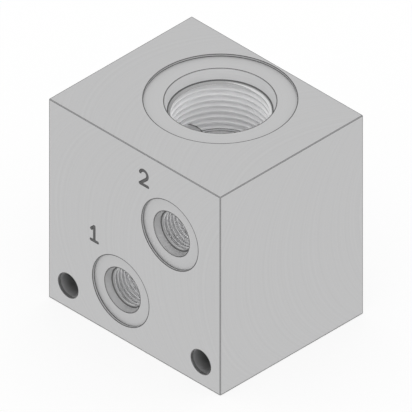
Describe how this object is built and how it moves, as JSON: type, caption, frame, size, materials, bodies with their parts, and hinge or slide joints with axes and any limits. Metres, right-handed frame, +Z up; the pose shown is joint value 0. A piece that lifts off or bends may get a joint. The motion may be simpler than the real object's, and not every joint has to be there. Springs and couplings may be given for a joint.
{
  "type": "hydraulic manifold block",
  "caption": "Rectangular aluminium manifold block with a stepped cartridge-valve cavity in the top, threaded O-ring ports, gauge ports and plain mounting holes.",
  "frame": {"origin": "middle of the bottom face, on the surface that the block stands on", "axes": "X along the width, -Y out of the front face with the two gauge ports, +Z up out of the cartridge cavity"},
  "size_m": [0.0762, 0.0636, 0.0762],
  "materials": {
    "block_aluminium": "satin, as milled"
  },
  "bodies": {
    "root": {"manifold_block": "block_aluminium"}
  },
  "joints": []
}
